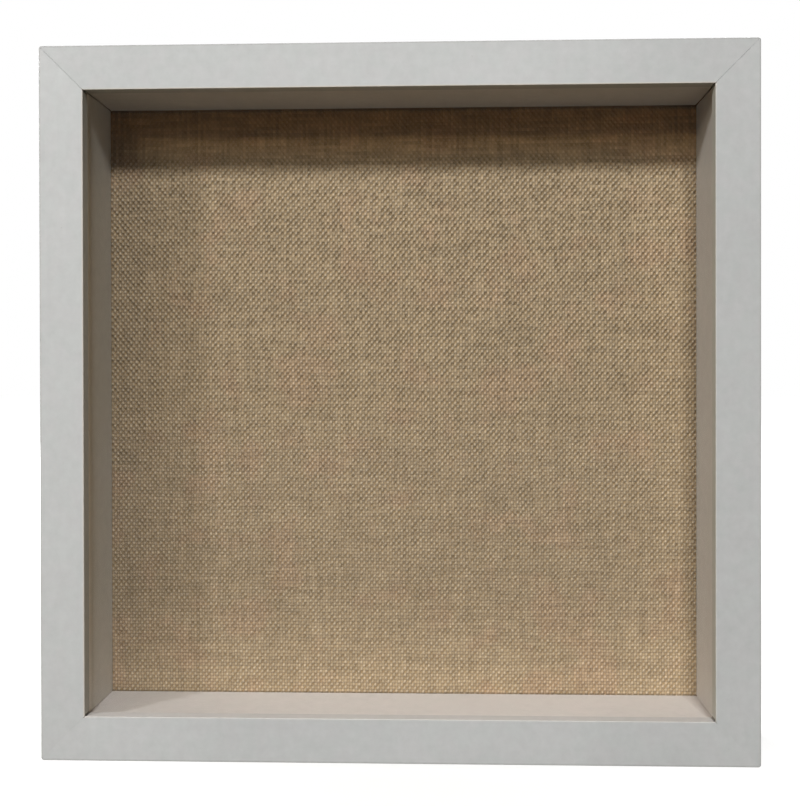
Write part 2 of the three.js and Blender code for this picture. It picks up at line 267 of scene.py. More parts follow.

# Paint round the opening, with painted shade inside the lip and in its corners, wear and a painted
# highlight on its edge, and handling marks: widths from the sight edge and depths from the front
# Painted shade inside the lip, darker and warmed by light from the cloth: times the paint's colour
LIP_PAINTED_SHADE = (0.9, 0.84, 0.73, 1.0)
LIP_LESS_PAINTED_SHADE = (1.0, 0.94, 0.9, 1.0)
INSIDE_START = 0.12 * MM
INSIDE_END = 0.02 * MM
CORNER_SHADE_START = 1.0 * MM
CORNER_SHADE_END = 0.2 * MM
CORNER_SHADE_SHALLOW = 0.3 * MM
CORNER_SHADE_DEEP = 0.9 * MM
CORNER_SHADE_SHARE = 0.8
CORNER_SHADE_COLOUR = tint(52, 46, 36)
WEAR_AND_HIGHLIGHT_START = 0.75 * MM
WEAR_AND_HIGHLIGHT_END = 0.3 * MM
WEAR_AND_HIGHLIGHT_SHALLOW = 0.25 * MM
WEAR_AND_HIGHLIGHT_DEEP = 0.6 * MM
WEAR_AND_HIGHLIGHT_LEAST = 0.6  # in the patches that are worn least
WEAR_AND_HIGHLIGHT_TURN = 6 * MM  # half the stretch in which the wear and painted highlight change, at the other two corners
WEAR_AND_HIGHLIGHT_LOW_RIGHT = 0.25
WEAR_AND_HIGHLIGHT_TOP_LEFT = 0.8
WEAR_AND_HIGHLIGHT_COLOUR = tint(202, 196, 187)
HANDLED_START = 0.9 * MM  # from the outer edge
HANDLED_END = 0.2 * MM
HANDLED_SHARE = 0.3
HANDLED_COLOUR = tint(140, 139, 134)


def brush_strokes(shader, along):
    """Fine streaks along a rail."""
    scale_x = STROKES_ALONG if along == "X" else STROKES_ACROSS
    scale_z = STROKES_ACROSS if along == "X" else STROKES_ALONG
    place = shader.point(shader.x * scale_x, shader.y * STROKES_ACROSS, shader.z * scale_z)
    return shader.noise(scale=1.0, detail=3.0, at=place)


def tinged_and_specked(shader, base):
    """Paint with faint tinges of green and red, and patches of small dark specks."""
    hue = shader.noise(scale=120.0, detail=1.0).ramp(start=0.35, end=0.65)
    base = shader.mix(hue, shader.mix(HUE_SHARE, base, GREENISH), shader.mix(HUE_SHARE, base, REDDISH))
    speck_patches = shader.noise(scale=60.0, detail=1.0).ramp(start=0.52, end=0.6)
    specks = shader.cells(scale=170.0).ramp(start=0.05, end=0.02) * speck_patches
    return shader.mix(specks * SPECK_SHARE, base, SPECK_COLOUR)


def edge_wear_and_shade(shader, base, inside_painted_shade):
    """Paint with painted shade inside the lip and in its corners, worn pale with a painted highlight on
    its edge, and handled dark at the outer edges.
    """
    across = shader.x.size()
    up = (shader.z - MIDDLE_HEIGHT).size()
    ring = across.call("MAXIMUM", up)
    inside = ring.ramp(SIGHT_HALF + INSIDE_START, SIGHT_HALF + INSIDE_END)
    # Painted shade inside the lip
    base = shader.mix(inside, base, shader.times(base, inside_painted_shade))

    # Painted shade in the corners of the lip
    cornered = across.call("MINIMUM", up).ramp(SIGHT_HALF - CORNER_SHADE_START, SIGHT_HALF - CORNER_SHADE_END)
    corner_shade = inside * cornered * shader.y.ramp(FRONT + CORNER_SHADE_SHALLOW, FRONT + CORNER_SHADE_DEEP)
    base = shader.mix(corner_shade * CORNER_SHADE_SHARE, base, CORNER_SHADE_COLOUR)

    # The edge round the opening is worn pale with a painted highlight, most at the top and left
    near_face = shader.y.ramp(FRONT + WEAR_AND_HIGHLIGHT_DEEP, FRONT + WEAR_AND_HIGHLIGHT_SHALLOW)
    patchy = shader.noise(scale=90.0, detail=3.0).ramp(start=0.3, end=0.6, low=WEAR_AND_HIGHLIGHT_LEAST)
    above_diagonal = shader.z - MIDDLE_HEIGHT - shader.x
    top_left = above_diagonal.ramp(-WEAR_AND_HIGHLIGHT_TURN, WEAR_AND_HIGHLIGHT_TURN, WEAR_AND_HIGHLIGHT_LOW_RIGHT, WEAR_AND_HIGHLIGHT_TOP_LEFT)
    wear_and_highlight = ring.ramp(SIGHT_HALF + WEAR_AND_HIGHLIGHT_START, SIGHT_HALF + WEAR_AND_HIGHLIGHT_END) * near_face * patchy
    base = shader.mix(wear_and_highlight * top_left, base, WEAR_AND_HIGHLIGHT_COLOUR)

    handled = ring.ramp(HALF_SIZE - HANDLED_START, HALF_SIZE - HANDLED_END)
    return shader.mix(handled * HANDLED_SHARE, base, HANDLED_COLOUR)


def painted(name, along, colour, gloss, front_painted_light=0.0, top_painted_shade=0.0, left_end_painted_shade=1.0, inside_painted_shade=LIP_PAINTED_SHADE):
    """Satin paint: mottling, specks, brush strokes along the rail, and worn and shaded edges.

    Front painted light makes the paint paler at the front of the liner, and top painted shade makes it
    darker at the top and paler at the bottom.
    """
    shader = Shader(name)
    strokes = brush_strokes(shader, along)
    cloud = shader.noise(scale=22.0, detail=3.0)
    mottle = shader.noise(scale=260.0, detail=3.0, roughness=0.6)
    grit = shader.noise(scale=900.0)
    brightness = PAINT_TONE + cloud * CLOUD_SHARE + mottle * MOTTLE_SHARE + strokes * STROKE_SHARE
    # Painted light: paler towards the front of the liner
    if front_painted_light:
        near_front = shader.y.ramp(LINER_FRONT + FRONT_LIGHT_START, LINER_FRONT + FRONT_LIGHT_END)
        brightness = brightness + near_front * front_painted_light
    # Painted shade: the level rails and liners are darker towards their right end
    if along == "X":
        brightness = brightness * shader.x.ramp(RIGHT_END_START, RIGHT_END, 1.0, RIGHT_END_PAINTED_SHADE)
    # Painted shadow: darker towards the left end
    if left_end_painted_shade < 1:
        brightness = brightness * shader.x.ramp(LEFT_END, LEFT_END_START, left_end_painted_shade, 1.0)
    # Painted light and shade: paler towards the bottom and darker towards the top
    if top_painted_shade:
        bottom = MIDDLE_HEIGHT - LINER_HALF
        top = MIDDLE_HEIGHT + LINER_HALF
        brightness = brightness * shader.z.ramp(bottom, top, 1 + top_painted_shade, 1 - top_painted_shade)
    base = tinged_and_specked(shader, shader.shade(colour, brightness))
    base = edge_wear_and_shade(shader, base, inside_painted_shade)

    relief = strokes * STROKE_RELIEF + mottle * MOTTLE_RELIEF + grit * GRIT_RELIEF
    return shader.principled(
        Base_Color=base,
        Roughness=PAINT_ROUGHNESS + shader.noise(scale=150.0) * ROUGHNESS_SHARE,
        Specular_IOR_Level=gloss,
        Normal=shader.bump(relief, PAINT_RELIEF),
    )


def picture_glass():
    """Thin clear glass with a low-reflection coating, which lets lamp light straight through."""
    clear_colour = (0.985, 0.99, 0.985, 1.0)
    facing_gloss = 0.003
    slanting_gloss = 0.7
    slanting_power = 5.0
    shader = Shader("picture_glass")
    smears = shader.noise(scale=30.0, detail=3.0).ramp(start=0.35, end=0.7, low=0.02, high=0.06)
    clear = shader.node("ShaderNodeBsdfTransparent", Color=clear_colour).outputs[0]
    gloss = shader.node("ShaderNodeBsdfGlossy", Color=WHITE, Roughness=smears).outputs[0]
    slanting = Field(shader, shader.node("ShaderNodeLayerWeight", Blend=0.5).outputs["Facing"])
    share = facing_gloss + slanting.call("POWER", slanting_power) * slanting_gloss
    return shader.finish(shader.mix_surfaces(share, clear, gloss))


# Linen weave
WARP_PITCH = 1.13 * MM  # between upright threads
WEFT_PITCH = 1.34 * MM  # between level threads
THREAD_RELIEF = 0.8 * MM
CROSSING_RELIEF = 0.3  # shares of the relief
ROUND_RELIEF = 0.12
FIBRE_RELIEF = 0.03
MIDDLE_RELIEF = 0.5
THREAD_WANDER = 1.3 * MM
WANDER_SCALE = 55.0
NOISE_MIDDLE = 0.5
SLUB_LENGTH = 17 * MM
THREAD_TONE = 0.1  # by which single threads are paler or darker
THREAD_STEP = 7.31  # between neighbouring threads in a noise, so that their tones have nothing in common
WARP_SEED = 3.1
WEFT_SEED = 9.7
CROSSING_SEED = 5.3
WANDER_SEED = 0.37
LOW_CROSSING = 0.4  # height of the flattest and the highest crossings
HIGH_CROSSING = 1.45
FIBRE_TONE = 0.9
FIBRE_SHARE = 0.2
GAP_SHADE = 0.3
GAP_START = 0.2  # shares of a pitch from the middle of a thread
HALF_PITCH = 0.5
DOT_CONTRAST = 0.15
DOT_SLANT = 0.25  # how far the pale crossings run together along one diagonal
DIPPED_SHADE_COLOUR = tint(151, 127, 95)
RAISED_HIGHLIGHT_COLOUR = tint(176, 159, 137)
ROSY_COLOUR = tint(190, 132, 112)
ROSY_SHARE = 0.1
CLOTH_SPECULAR_TINT = (1.0, 0.72, 0.45, 1.0)

# Height of the weave, which also scales its painted highlight and shade, and its flat part under the lip
# with painted shade, measured up from the middle of the cloth
WEAVE_HEIGHT_LOW = 0.6
WEAVE_HEIGHT_TOP = 1.2
FLAT_START = 95 * MM
FLAT_END = 105 * MM
FLATTENING = 0.78
FLAT_PAINTED_SHADE = 0.12
FLAT_STREAKS = 1.2

# Painted light and shade on the cloth, measured from its middle
PAINTED_LIGHT_START = 75 * MM
LOW_PAINTED_LIGHT = 0.26
RIGHT_PAINTED_LIGHT = 0.12
SHADED_LEFT = 0.08
SHADED_LEFT_START = 10 * MM
SHADED_LEFT_END = 95 * MM
UNDER_LIP_SHADE_START = 94 * MM
UNDER_LIP_SHADE_END = 120 * MM
UNDER_LIP_SHADE_TINT = (1.07, 0.77, 0.43, 1.0)
FRONT_START = 1.5 * MM  # behind the front of the cloth
FRONT_END = 0.5 * MM

# Painted shade on the cloth along the liner, with widths from the liner's edge
TOP_EDGE_SHADE = 0.45
TOP_EDGE_SHADE_START = 1.8 * MM
TOP_EDGE_SHADE_END = 0.5 * MM
TOP_WIDE_SHADE = 0.2
TOP_WIDE_SHADE_WIDTH = 8 * MM
LOW_EDGE_SHADE = 0.3
LOW_EDGE_SHADE_START = 1.0 * MM
LOW_EDGE_SHADE_END = 0.2 * MM


def cloth_tone(shader, rise):
    """Brightness of the cloth, with painted light towards the lower and right edges and painted shade on
    the left part and along the liner.
    """
    low_edge = rise.ramp(-PAINTED_LIGHT_START, -LINER_HALF)
    right_edge = shader.x.ramp(PAINTED_LIGHT_START, LINER_HALF)
    left_part = shader.x.ramp(-SHADED_LEFT_START, -SHADED_LEFT_END)
    sideways = 1 + right_edge * RIGHT_PAINTED_LIGHT - left_part * SHADED_LEFT
    off_top = (rise - LINER_HALF).size()
    top_shade = off_top.ramp(TOP_EDGE_SHADE_START, TOP_EDGE_SHADE_END) * TOP_EDGE_SHADE
    top_shade = top_shade + off_top.ramp(TOP_WIDE_SHADE_WIDTH, 0.0) * TOP_WIDE_SHADE
    low_shade = (rise + LINER_HALF).size().ramp(LOW_EDGE_SHADE_START, LOW_EDGE_SHADE_END) * LOW_EDGE_SHADE
    return sideways * (1 + low_edge * LOW_PAINTED_LIGHT) * (1 - top_shade - low_shade)


def thread_tone(shader, place):
    """Tone of one set of threads, from a noise at a place that is the same across each thread."""
    drifting = shader.noise(scale=1.0, roughness=0.6, at=place)
    return drifting.ramp(start=0.3, end=0.7, low=1 - THREAD_TONE, high=1 + THREAD_TONE)


def linen():
    """Plain weave of uneven flax threads, each with its own tone and slubs."""
    shader = Shader("linen")
    wander = shader.noise(WANDER_SCALE) - NOISE_MIDDLE
    turned_place = shader.point(shader.z, shader.x, WANDER_SEED)
    wander_too = shader.noise(WANDER_SCALE, at=turned_place) - NOISE_MIDDLE
    warp_count = (shader.x + wander * THREAD_WANDER) / WARP_PITCH
    weft_count = (shader.z + wander_too * THREAD_WANDER) / WEFT_PITCH
    warp = warp_count.call("ROUND")
    weft = weft_count.call("ROUND")
    rise = shader.z - MIDDLE_HEIGHT
    flat = rise.ramp(FLAT_START, FLAT_END)

    # Tone of each thread, drifting along it
    drift = 1 / SLUB_LENGTH
    warp_place = shader.point(warp * THREAD_STEP, shader.z * drift, WARP_SEED)
    weft_place = shader.point(shader.x * drift, weft * THREAD_STEP, WEFT_SEED)
    threads = thread_tone(shader, warp_place) * thread_tone(shader, weft_place)
    # Under the top lip: stronger thread streaks, and painted shade
    threads = threads * (1 + (threads - 1) * flat * FLAT_STREAKS) * (1 - flat * FLAT_PAINTED_SHADE)
    fibre = shader.noise(scale=2600.0)

    # From 1 where an upright thread crosses on top to -1 where it dips under a level one
    warp_turn = warp_count * math.pi
    weft_turn = weft_count * math.pi
    over = warp_turn.call("COSINE") * weft_turn.call("COSINE")
    slant = warp_turn.call("SINE") * weft_turn.call("SINE")
    crossing_place = shader.point(warp * THREAD_STEP, weft * THREAD_STEP, CROSSING_SEED)
    crossing = shader.noise(scale=1.0, detail=0.0, at=crossing_place)
    height = crossing.ramp(start=0.3, end=0.7, low=LOW_CROSSING, high=HIGH_CROSSING)
    height = height * (1 - flat * FLATTENING)
    height = height * rise.ramp(-LINER_HALF, LINER_HALF, WEAVE_HEIGHT_LOW, WEAVE_HEIGHT_TOP)
    dots = (over + slant * DOT_SLANT) * height

    # Painted shade in the gaps between the threads
    across = (warp_count - warp).size()
    up = (weft_count - weft).size()
    gap_tone = 1 - GAP_SHADE * (1 - flat * FLATTENING)
    beside_warp = across.ramp(GAP_START, HALF_PITCH, 1.0, gap_tone)
    beside_weft = up.ramp(GAP_START, HALF_PITCH, 1.0, gap_tone)
    gaps = beside_warp * beside_weft
    # Raised crossings are painted paler and dipped ones darker: painted highlight and shade
    brightness = threads * gaps * (FIBRE_TONE + fibre * FIBRE_SHARE) * (1 + dots * DOT_CONTRAST)

    # The weave's two tones, with painted highlight on the raised crossings and painted shade on the dipped
    # threads
    base = shader.mix(dots.ramp(-1.0, 1.0), DIPPED_SHADE_COLOUR, RAISED_HIGHLIGHT_COLOUR)
    rosy = shader.noise(scale=60.0).ramp(start=0.5, end=0.68)
    base = shader.mix(rosy * ROSY_SHARE, base, ROSY_COLOUR)

    # Painted shade under the top lip, deeper and warmer in colour, on the front only
    on_front = shader.y.ramp(CLOTH_FRONT + FRONT_START, CLOTH_FRONT + FRONT_END)
    under_lip = rise.ramp(UNDER_LIP_SHADE_START, UNDER_LIP_SHADE_END) * on_front
    base = shader.mix(under_lip, base, shader.times(base, UNDER_LIP_SHADE_TINT))
    base = shader.shade(base, brightness * cloth_tone(shader, rise))

    roundness = (HALF_PITCH - across).call("MINIMUM", HALF_PITCH - up)
    relief = over * height * CROSSING_RELIEF + roundness * ROUND_RELIEF
    relief = relief + fibre * FIBRE_RELIEF + MIDDLE_RELIEF
    return shader.principled(
        Base_Color=base,
        Roughness=0.35,
        Specular_IOR_Level=0.3,
        Specular_Tint=CLOTH_SPECULAR_TINT,
        Sheen_Weight=0.05,
        Sheen_Roughness=0.5,
        Normal=shader.bump(relief, THREAD_RELIEF),
    )


def softboard():
    """Pressed soft fibre board: matted short fibres with darker flecks."""
    board_colour = tint(176, 160, 130)
    fleck_colour = tint(104, 86, 62)
    fleck_share = 0.5
    darkest = 0.7
    mat_share = 0.6
    relief_depth = 0.4 * MM
    shader = Shader("softboard")
    matted = shader.noise(scale=420.0, detail=5.0, roughness=0.65)
    fleck = shader.cells(scale=350.0).ramp(start=0.12, end=0.04)
    base = shader.shade(board_colour, darkest + matted * mat_share)
    base = shader.mix(fleck * fleck_share, base, fleck_colour)
    return shader.principled(
        Base_Color=base,
        Roughness=0.95,
        Specular_IOR_Level=0.2,
        Normal=shader.bump(matted, relief_depth),
    )


# Hardboard: pitch of the pressed screen, colours, and shares of its tone and relief
SCREEN_PITCH = 1.3 * MM
HARDBOARD_COLOUR = tint(138, 101, 68)
DARK_FLECK = tint(74, 50, 32)
DARK_FLECK_SHARE = 0.55
PALE_FLECK = tint(178, 144, 104)
PALE_FLECK_SHARE = 0.4
HARDBOARD_DARKEST = 0.15
BOARD_CLOUD_SHARE = 0.5
BOARD_CLUMP_SHARE = 0.7
BOARD_FIBRE_SHARE = 0.5
SCREEN_SHARE = 0.06
SCREEN_RELIEF = 0.35
BOARD_FIBRE_RELIEF = 0.4
HARDBOARD_RELIEF = 0.22 * MM
HARDBOARD_ROUGHNESS = 0.62
HARDBOARD_ROUGHNESS_SHARE = 0.2


def hardboard():
    """Brown hardboard with the print of the wire screen that it was pressed on."""
    shader = Shader("hardboard")
    wave = 2 * math.pi / SCREEN_PITCH
    screen = (shader.x * wave).call("SINE") * (shader.z * wave).call("SINE")
    fibres = shader.noise(scale=240.0, detail=5.0, roughness=0.7)
    clump = shader.noise(scale=90.0, detail=4.0, roughness=0.65)
    cloud = shader.noise(scale=14.0, detail=3.0)
    tone = HARDBOARD_DARKEST + cloud * BOARD_CLOUD_SHARE + clump * BOARD_CLUMP_SHARE
    tone = tone + fibres * BOARD_FIBRE_SHARE + screen * SCREEN_SHARE
    base = shader.shade(HARDBOARD_COLOUR, tone)

    fleck = shader.cells(scale=150.0).ramp(start=0.2, end=0.08) * fibres.ramp(start=0.45, end=0.6)
    base = shader.mix(fleck * DARK_FLECK_SHARE, base, DARK_FLECK)
    turned_place = shader.point(shader.z, shader.y, shader.x)
    pale_fleck = shader.cells(scale=110.0, at=turned_place).ramp(start=0.16, end=0.06)
    pale_fleck = pale_fleck * clump.ramp(start=0.48, end=0.6)
    base = shader.mix(pale_fleck * PALE_FLECK_SHARE, base, PALE_FLECK)
    return shader.principled(
        Base_Color=base,
        Roughness=HARDBOARD_ROUGHNESS + fibres * HARDBOARD_ROUGHNESS_SHARE,
        Specular_IOR_Level=0.35,
        Normal=shader.bump(screen * SCREEN_RELIEF + fibres * BOARD_FIBRE_RELIEF, HARDBOARD_RELIEF),
    )


def metal(name, bright, dull, roughness):
    """Plated sheet or wire: fine rolling lines, dull patches and a few dark spots."""
    lines_along = 300
    lines_across = 4000
    spot_colour = tint(90, 74, 52)
    spot_share = 0.6
    cloud_roughness = 0.18
    rolled_roughness = 0.1
    rolled_relief = 0.5
    cloud_relief = 0.5
    relief_depth = 0.03 * MM
    shader = Shader(name)
    rolled_at = shader.point(shader.x * lines_along, shader.y * lines_across, shader.z * lines_across)
    rolled = shader.noise(scale=1.0, at=rolled_at)
    cloud = shader.noise(scale=160.0, detail=3.0)
    spot = shader.cells(scale=420.0).ramp(start=0.1, end=0.03) * cloud.ramp(start=0.45, end=0.6)
    base = shader.mix(cloud.ramp(start=0.35, end=0.7), bright, dull)
    base = shader.mix(spot * spot_share, base, spot_colour)
    return shader.principled(
        Base_Color=base,
        Metallic=1.0,
        Roughness=roughness + cloud * cloud_roughness + rolled * rolled_roughness,
        Normal=shader.bump(rolled * rolled_relief + cloud * cloud_relief, relief_depth),
    )


def felt():
    """Pressed wool felt: short tangled fibres in mixed greys."""
    felt_colour = tint(92, 88, 84)
    darkest = 0.4
    tangle_share = 0.8
    clump_share = 0.4
    relief_depth = 0.4 * MM
    shader = Shader("felt")
    tangle = shader.noise(scale=1500.0, detail=5.0, roughness=0.7)
    clump = shader.noise(scale=500.0, detail=3.0)
    base = shader.shade(felt_colour, darkest + tangle * tangle_share + clump * clump_share)
    return shader.principled(
        Base_Color=base,
        Roughness=1.0,
        Specular_IOR_Level=0.1,
        Sheen_Weight=0.4,
        Sheen_Roughness=0.4,
        Normal=shader.bump(tangle, relief_depth),
    )


PAINT_GLOSS = 0.25
LINER_GLOSS = 0.4
STEEL_ROUGHNESS = 0.24
BRASS_ROUGHNESS = 0.22
# Each side's paint is a little lighter or darker: painted light and shade of how the lamps fall on that
# side
rail_paint = {
    "top": painted("paint_top", "X", tint(181, 183, 184), PAINT_GLOSS),
    "bottom": painted("paint_bottom", "X", tint(188, 190, 191), PAINT_GLOSS, inside_painted_shade=LIP_LESS_PAINTED_SHADE),
    "left": painted("paint_left", "Z", tint(185, 187, 188), PAINT_GLOSS),
    "right": painted("paint_right", "Z", tint(180, 182, 183), PAINT_GLOSS, top_painted_shade=0.03),
}
# Each side of the liner is a little lighter or darker: painted light and shade of how the lamps fall on
# that wall
liner_paint = {
    "top": painted("liner_paint_top", "X", tint(203, 198, 192), LINER_GLOSS),
    "bottom": painted("liner_paint_bottom", "X", tint(215, 208, 206), LINER_GLOSS, left_end_painted_shade=0.88),
    "left": painted("liner_paint_left", "Z", tint(213, 210, 204), LINER_GLOSS, front_painted_light=0.4, top_painted_shade=0.06),
    "right": painted("liner_paint_right", "Z", tint(190, 183, 178), LINER_GLOSS, top_painted_shade=0.09),
}
glass_look = picture_glass()
linen_look = linen()
softboard_look = softboard()
hardboard_look = hardboard()
steel_look = metal("zinc_steel", tint(214, 216, 219), tint(176, 178, 182), STEEL_ROUGHNESS)
brass_look = metal("satin_brass", tint(232, 200, 128), tint(190, 152, 84), BRASS_ROUGHNESS)
felt_look = felt()

# Broken edges of the CAD nodes
SMOOTH_BELOW = math.radians(35)  # edges flatter than this are shaded round
BEVEL_SEGMENTS = 2
LINER_EASE = 0.06 * MM
PIN_BOARD_EASE = 0.5 * MM
BACK_BOARD_EASE = 0.3 * MM
HANGER_EASE = 0.15 * MM
BUTTON_EASE = 0.25 * MM

# CAD nodes of the moulding, by side
RAILS = {"top": "top_rail", "bottom": "bottom_rail", "left": "left_stile", "right": "right_stile"}


def shade_round(mesh):
    """Smooth shading, broken at the sharp edges."""
    mesh.polygons.foreach_set("use_smooth", [True] * len(mesh.polygons))
    mesh.set_sharp_from_angle(angle=SMOOTH_BELOW)


def wear(node, look, bevel=0.0):
    """Gives a CAD node its material, round shading on its curves and, if asked, broken edges."""
    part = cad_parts[node]
    part.data.materials.clear()
    part.data.materials.append(look)
    shade_round(part.data)
    if bevel:
        rounding = part.modifiers.new("broken_edges", "BEVEL")
        rounding.width = bevel
        rounding.segments = BEVEL_SEGMENTS
        rounding.limit_method = "ANGLE"
        rounding.angle_limit = SMOOTH_BELOW
        rounding.harden_normals = True


def dress_cad_nodes():
    for side, rail in RAILS.items():
        wear(rail, rail_paint[side])
        wear(f"liner_{side}", liner_paint[side], LINER_EASE)
    wear("glazing_pane", glass_look)
    wear("pin_board", softboard_look, PIN_BOARD_EASE)
    wear("back_board", hardboard_look, BACK_BOARD_EASE)
    wear("hanger", brass_look, HANGER_EASE)
    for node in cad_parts:
        if node.startswith(("corner_nail", "button_screw", "hanger_nail")):
            wear(node, steel_look)
        if node.startswith("turn_button"):
            wear(node, brass_look, BUTTON_EASE)


def new_piece(name, mesh, look, body, replaced=()):
    """Puts a bmesh in the scene as a piece of the object."""
    data = bpy.data.meshes.new(name)
    bmesh.ops.recalc_face_normals(mesh, faces=mesh.faces)
    mesh.to_mesh(data)
    mesh.free()
    shade_round(data)
    data.materials.append(look)
    piece = bpy.data.objects.new(name, data)
    bpy.context.scene.collection.objects.link(piece)
    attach(piece, body)
    if replaced:
        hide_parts(*replaced)
    return piece


def bridge(mesh, rings):
    """Quads between closed rings of equally many vertices."""
    for inner, outer in zip(rings, rings[1:]):
        for i in range(len(inner)):
            j = (i + 1) % len(inner)
            mesh.faces.new((inner[i], inner[j], outer[j], outer[i]))


# Linen on the back panel
CLOTH_THICKNESS = 0.8 * MM
CLOTH_RETURN = 20 * MM
CLOTH_FOLD_RADIUS = 1.3 * MM
CLOTH_CORNER_RADIUS = 1.6 * MM
CLOTH_STEPS_A_SIDE = 56
CLOTH_STEPS_A_CORNER = 4
CLOTH_RING_STEP = 3 * MM
CLOTH_UNEVENNESS = 0.12 * MM
CLOTH_WAVES = 70  # a metre
CLOTH_CREASE = 0.35 * MM
CLOTH_CREASE_WIDTH = 3 * MM
CLOTH_FLAT_WITHIN = 0.1 * MM  # of the front or back
FOLD_STEPS = 5
HEM_STEPS = 8


def rounded_square(half, corner, depth):
    """Points round a square with rounded corners, in the plane of the frame."""
    points = []
    straight = half - corner
    for quarter in range(4):
        turn = Matrix.Rotation(quarter * math.pi / 2, 3, "Y")
        for step in range(CLOTH_STEPS_A_SIDE):
            along = (2 * step / CLOTH_STEPS_A_SIDE - 1) * straight
            points.append(turn @ Vector((along, 0, half)))
        for step in range(CLOTH_STEPS_A_CORNER):
            angle = math.pi / 2 * (1 - step / CLOTH_STEPS_A_CORNER)
            rounding = Vector((math.cos(angle), 0, math.sin(angle))) * corner
            points.append(turn @ (Vector((straight, 0, straight)) + rounding))
    return [point + Vector((0, depth, MIDDLE_HEIGHT)) for point in points]


def cloth_stations(half, front, back):
    """Half size and depth of each ring of the cloth, from the middle of the front to the hem."""
    radius = CLOTH_FOLD_RADIUS
    flat_half = half - radius
    rings = round(flat_half / CLOTH_RING_STEP)
    stations = [(flat_half * step / rings, front) for step in range(1, rings)]
    for middle, first in ((front + radius, -90), (back - radius, 0)):
        for step in range(FOLD_STEPS + 1):
            angle = math.radians(first + 90 * step / FOLD_STEPS)
            stations.append((flat_half + radius * math.cos(angle), middle + radius * math.sin(angle)))
    for step in range(1, HEM_STEPS + 1):
        stations.append((flat_half - (CLOTH_RETURN - radius) * step / HEM_STEPS, back))
    return stations


def settle_cloth(point, front, back):
    """Small unevenness of the stretched front, and pressed creases at the folded corners of the back."""
    wave = noise.noise(Vector((point.x, 0, point.z)) * CLOTH_WAVES)
    if point.y < front + CLOTH_FLAT_WITHIN:
        point.y += CLOTH_UNEVENNESS * (1 + wave) / 2
    if point.y > back - CLOTH_FLAT_WITHIN:
        off_mitre = abs(abs(point.x) - abs(point.z - MIDDLE_HEIGHT))
        point.y -= CLOTH_CREASE * max(0.0, 1 - off_mitre / CLOTH_CREASE_WIDTH)
    return point


def linen_cover():
    """Cloth stretched over the pin board, folded round its edges and pressed flat on its back."""
    low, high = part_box("linen_cover")
    half = high.x
    mesh = bmesh.new()
    rings = []
    for size, depth in cloth_stations(half, low.y, high.y):
        corner = min(CLOTH_CORNER_RADIUS, size / 2)
        points = rounded_square(size, corner, depth)
        rings.append([mesh.verts.new(settle_cloth(point, low.y, high.y)) for point in points])
    bridge(mesh, rings)
    mesh.faces.new(rings[0])
    piece = new_piece("linen", mesh, linen_look, "back_panel", ["linen_cover"])
    thickness = piece.modifiers.new("thickness", "SOLIDIFY")
    thickness.thickness = CLOTH_THICKNESS
    thickness.offset = -1


# Paint and glue in the open line of each mitre, a little below the wood
FILLER_THICKNESS = 0.196 * MM
FILLER_LIP_DEPTH = 4.5 * MM
FILLER_WALL = 10 * MM
FILLER_CORNER = 0.36 * MM  # the rounded outer corner of the frame along the mitre
FILLER_STOP = 9.5 * MM  # short of the back face, where the corner nails cross the mitre
FILLER_SINK = {
    ("left", "top"): 0.22 * MM,
    ("right", "top"): 0.12 * MM,
    ("left", "bottom"): 0.05 * MM,
    ("right", "bottom"): 0.04 * MM,
}
FILLER_SIGHT_SINK = 0.5 * MM
LINER_FILLER_THICKNESS = 0.44 * MM
LINER_FILLER_TAPER = 3 * MM
LINER_FILLER_SINK = {  # at the front of the liner and from the end of the taper on
    ("left", "bottom"): (0.6 * MM, 0.01 * MM),
    ("right", "bottom"): (0.5 * MM, 0.12 * MM),
}


def filler_outline(sink):
    """Section of the moulding, sunk below its surface: pairs of inward place and depth."""
    outer = FILLER_CORNER + sink
    sight = FACE_WIDTH - FILLER_SIGHT_SINK
    lip_back = FILLER_LIP_DEPTH - sink
    inner_wall = FILLER_WALL - sink
    stop = MOULDING_BACK - FRONT - FILLER_STOP
    return [
        (outer, sink), (sight, sink), (sight, lip_back),
        (inner_wall, lip_back), (inner_wall, stop), (outer, stop),
    ]


def liner_filler_outline(front_sink, back_sink):
    """Section of the liner, sunk below its inner face more at the front."""
    outer = HALF_SIZE - LINER_OUTER_HALF
    inner = HALF_SIZE - LINER_HALF
    front = LINER_FRONT - FRONT
    back = LINER_BACK - FRONT
    return [
        (outer, front), (inner - front_sink, front),
        (inner - back_sink, front + LINER_FILLER_TAPER), (inner - back_sink, back), (outer, back),
    ]


def mitre_plate(name, corner, outline, thickness, look):
    """Thin plate in the mitre of a corner, from an outline of inward places and depths."""
    across, level = corner
    side_x = 1 if across == "right" else -1
    side_z = 1 if level == "top" else -1
    aside = Vector((side_x, 0, -side_z)).normalized() * (thickness / 2)
    mesh = bmesh.new()
    rings = []
    for direction in (-1, 1):
        ring = []
        for inward, depth in outline:
            reach = HALF_SIZE - inward
            point = Vector((side_x * reach, FRONT + depth, MIDDLE_HEIGHT + side_z * reach))
            ring.append(mesh.verts.new(point + direction * aside))
        mesh.faces.new(ring)
        rings.append(ring)
    bridge(mesh, rings)
    new_piece(f"{name}_{level}_{across}", mesh, look, "frame")


def mitre_fillers():
    for (across, level), sink in FILLER_SINK.items():
        outline = filler_outline(sink)
        look = rail_paint[level]
        mitre_plate("mitre_filler", (across, level), outline, FILLER_THICKNESS, look)
    for (across, level), sinks in LINER_FILLER_SINK.items():
        outline = liner_filler_outline(*sinks)
        look = liner_paint[level]
        thickness = LINER_FILLER_THICKNESS
        mitre_plate("liner_filler", (across, level), outline, thickness, look)


